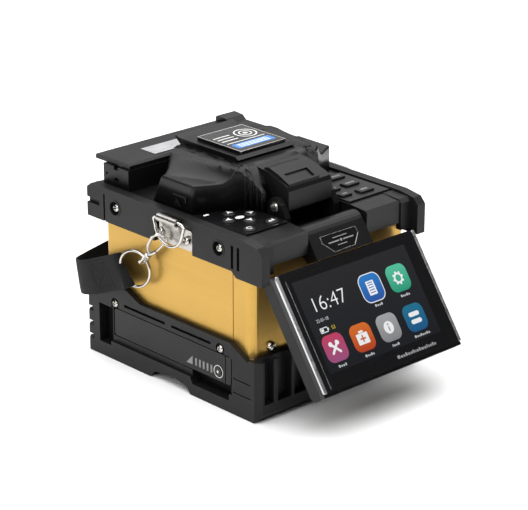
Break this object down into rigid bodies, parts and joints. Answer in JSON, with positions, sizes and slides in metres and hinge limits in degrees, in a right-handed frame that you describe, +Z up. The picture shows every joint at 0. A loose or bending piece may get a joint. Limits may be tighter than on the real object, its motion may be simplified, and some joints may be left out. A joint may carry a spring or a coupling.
{
  "type": "fusion splicer",
  "caption": "Portable fusion splicer that welds optical fibres by electric arc, with a hinged windshield, tube heater, keypads, tilting touch screen, slide-in battery and carrying strap.",
  "frame": {"origin": "centre of the tray's underside, on the surface that it stands on", "axes": "+X to the machine's right, +Y to its back (the screen faces -Y), +Z up"},
  "size_m": [0.1528, 0.2232, 0.1434],
  "materials": {
    "rubber": "matte moulded",
    "black_plastic": "fine spark-eroded grain",
    "battery_plastic": "fine grain",
    "gloss_black": "polished",
    "key_grey": "satin",
    "gold_anodised": "satin gold anodised",
    "nickel": "bright nickel plate",
    "aluminium": "satin machined",
    "steel": "ground",
    "circuit": "green circuit board",
    "black_glass": "black-bordered cover glass",
    "webbing": "woven webbing"
  },
  "bodies": {
    "machine": {"lower_tray": "rubber", "chassis_plate": "aluminium", "gold_sleeve": "gold_anodised", "main_board": "circuit", "microscope_camera": "black_plastic", "top_deck": "black_plastic", "front_fascia": "black_plastic", "side_bumper_left": "rubber", "side_bumper_right": "rubber", "strap_lug_left": "nickel", "strap_lug_right": "nickel", "snap_hook_left": "nickel", "snap_hook_right": "nickel", "strap_ring_left": "nickel", "strap_ring_right": "nickel", "strap_webbing": "webbing", "left_keypad_plate": "gloss_black", "right_keypad_plate": "key_grey", "hinge_bracket": "black_plastic", "windshield_pin": "nickel", "splice_base": "aluminium", "v_groove_block": "steel", "electrode_front": "steel", "electrode_rear": "steel", "heater_housing": "black_plastic", "heater_plate": "steel", "heater_pin": "steel", "screen_pin": "steel"},
    "windshield": {"windshield_cover": "black_plastic", "cover_arm": "black_plastic", "cover_roof": "black_plastic", "badge_plate": "gloss_black"},
    "heater_lid": {"heater_lid": "black_plastic", "heater_lid_plate": "aluminium"},
    "screen": {"screen_front_frame": "gloss_black", "screen_glass": "black_glass", "lcd_panel": "gloss_black", "screen_back_housing": "black_plastic", "screen_neck": "black_plastic"},
    "battery": {"battery_pack": "battery_plastic"},
    "battery_button": {"battery_button": "gloss_black"},
    "d_ring_left": {"d_ring_left": "nickel"},
    "d_ring_right": {"d_ring_right": "nickel"},
    "hook_gate_left": {"hook_gate_left": "nickel"},
    "hook_gate_right": {"hook_gate_right": "nickel"},
    "fibre_stage_left": {"fibre_stage_left": "aluminium"},
    "fibre_stage_right": {"fibre_stage_right": "aluminium"},
    "fibre_lid_left": {"fibre_lid_left": "black_plastic"},
    "fibre_lid_right": {"fibre_lid_right": "black_plastic"},
    "key_back": {"key_back": "black_plastic"},
    "key_forward": {"key_forward": "black_plastic"},
    "key_left": {"key_left": "black_plastic"},
    "key_right": {"key_right": "black_plastic"},
    "key_enter": {"key_enter": "black_plastic"},
    "key_return": {"key_return": "black_plastic"},
    "key_reset": {"key_reset": "key_grey"},
    "key_heat": {"key_heat": "key_grey"},
    "key_set": {"key_set": "key_grey"},
    "key_axis": {"key_axis": "key_grey"},
    "key_zoom": {"key_zoom": "key_grey"}
  },
  "joints": [
    {"name": "windshield_hinge", "type": "hinge", "parent": "machine", "child": "windshield", "pos_m": [0, -0.038, 0.1174], "axis": [1, 0, 0], "range_deg": [0, 85]},
    {"name": "heater_lid_hinge", "type": "hinge", "parent": "machine", "child": "heater_lid", "pos_m": [0, 0.0825, 0.1225], "axis": [-1, 0, 0], "range_deg": [0, 100]},
    {"name": "screen_tilt", "type": "hinge", "parent": "machine", "child": "screen", "pos_m": [0, -0.06, 0.1025], "axis": [1, 0, 0], "range_deg": [-95, 3]},
    {"name": "battery_slide", "type": "slide", "parent": "machine", "child": "battery", "axis": [-1, 0, 0], "range_m": [0, 0.07]},
    {"name": "battery_button_press", "type": "slide", "parent": "battery", "child": "battery_button", "axis": [1, 0, 0], "range_m": [0, 0.0008], "stiffness_N_per_m": 600},
    {"name": "key_back_press", "type": "slide", "parent": "machine", "child": "key_back", "axis": [0, 0, -1], "range_m": [0, 0.0008], "stiffness_N_per_m": 500},
    {"name": "key_forward_press", "type": "slide", "parent": "machine", "child": "key_forward", "axis": [0, 0, -1], "range_m": [0, 0.0008], "stiffness_N_per_m": 500},
    {"name": "key_left_press", "type": "slide", "parent": "machine", "child": "key_left", "axis": [0, 0, -1], "range_m": [0, 0.0008], "stiffness_N_per_m": 500},
    {"name": "key_right_press", "type": "slide", "parent": "machine", "child": "key_right", "axis": [0, 0, -1], "range_m": [0, 0.0008], "stiffness_N_per_m": 500},
    {"name": "key_enter_press", "type": "slide", "parent": "machine", "child": "key_enter", "axis": [0, 0, -1], "range_m": [0, 0.0008], "stiffness_N_per_m": 500},
    {"name": "key_return_press", "type": "slide", "parent": "machine", "child": "key_return", "axis": [0, 0, -1], "range_m": [0, 0.0008], "stiffness_N_per_m": 500},
    {"name": "key_reset_press", "type": "slide", "parent": "machine", "child": "key_reset", "axis": [0, 0, -1], "range_m": [0, 0.0008], "stiffness_N_per_m": 500},
    {"name": "key_heat_press", "type": "slide", "parent": "machine", "child": "key_heat", "axis": [0, 0, -1], "range_m": [0, 0.0008], "stiffness_N_per_m": 500},
    {"name": "key_set_press", "type": "slide", "parent": "machine", "child": "key_set", "axis": [0, 0, -1], "range_m": [0, 0.0008], "stiffness_N_per_m": 500},
    {"name": "key_axis_press", "type": "slide", "parent": "machine", "child": "key_axis", "axis": [0, 0, -1], "range_m": [0, 0.0008], "stiffness_N_per_m": 500},
    {"name": "key_zoom_press", "type": "slide", "parent": "machine", "child": "key_zoom", "axis": [0, 0, -1], "range_m": [0, 0.0008], "stiffness_N_per_m": 500},
    {"name": "d_ring_left_swing", "type": "hinge", "parent": "machine", "child": "d_ring_left", "pos_m": [-0.0719, 0.0025, 0.1103], "axis": [0, 1, 0], "range_deg": [-4, 4]},
    {"name": "hook_gate_left_swing", "type": "hinge", "parent": "machine", "child": "hook_gate_left", "pos_m": [-0.06953, 0.01678, 0.08618], "axis": [-0.643, -0.5873, -0.4916], "range_deg": [0, 20], "stiffness_Nm_per_rad": 0.02, "springref_deg": -11.46},
    {"name": "fibre_feed_left", "type": "slide", "parent": "machine", "child": "fibre_stage_left", "axis": [1, 0, 0], "range_m": [-0.0015, 0.0015]},
    {"name": "fibre_lid_left_hinge", "type": "hinge", "parent": "fibre_stage_left", "child": "fibre_lid_left", "pos_m": [-0.02325, 0.0249, 0.1099], "axis": [-1, 0, 0], "range_deg": [0, 80]},
    {"name": "d_ring_right_swing", "type": "hinge", "parent": "machine", "child": "d_ring_right", "pos_m": [0.0719, 0.0025, 0.1103], "axis": [0, 1, 0], "range_deg": [-4, 4]},
    {"name": "hook_gate_right_swing", "type": "hinge", "parent": "machine", "child": "hook_gate_right", "pos_m": [0.06953, 0.01678, 0.08618], "axis": [-0.643, 0.5873, 0.4916], "range_deg": [0, 20], "stiffness_Nm_per_rad": 0.02, "springref_deg": -11.46},
    {"name": "fibre_feed_right", "type": "slide", "parent": "machine", "child": "fibre_stage_right", "axis": [1, 0, 0], "range_m": [-0.0015, 0.0015]},
    {"name": "fibre_lid_right_hinge", "type": "hinge", "parent": "fibre_stage_right", "child": "fibre_lid_right", "pos_m": [0.02325, 0.0249, 0.1099], "axis": [-1, 0, 0], "range_deg": [0, 80]}
  ]
}
